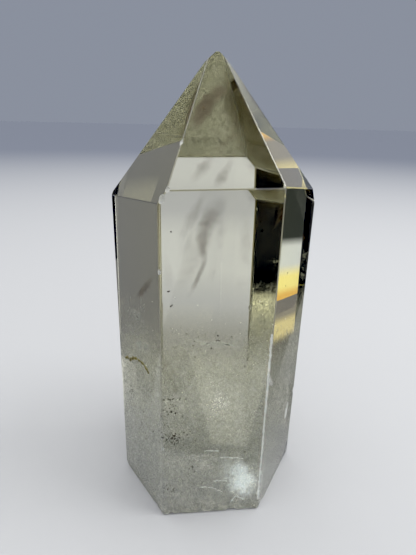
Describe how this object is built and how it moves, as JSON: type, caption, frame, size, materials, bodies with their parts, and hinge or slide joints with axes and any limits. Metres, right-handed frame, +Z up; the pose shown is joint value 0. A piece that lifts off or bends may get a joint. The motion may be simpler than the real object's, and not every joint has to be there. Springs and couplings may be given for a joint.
{
  "type": "smoky quartz tower",
  "caption": "Free-standing polished quartz crystal point, pale smoky and clear above a milky foot, six-sided with a faceted tip and a flat base.",
  "frame": {"origin": "middle of the bounding box, on the flat base", "axes": "+Z up along the crystal's length, -Y out of the broad front face, +X to the right as seen from the front"},
  "size_m": [0.0538, 0.045, 0.1202],
  "materials": {
    "smoky_quartz": "polished clear crystal, pale olive smoke, milky cloud and healed cracks in the lower half, brown wisps above"
  },
  "bodies": {
    "root": {"quartz_tower": "smoky_quartz"}
  },
  "joints": []
}
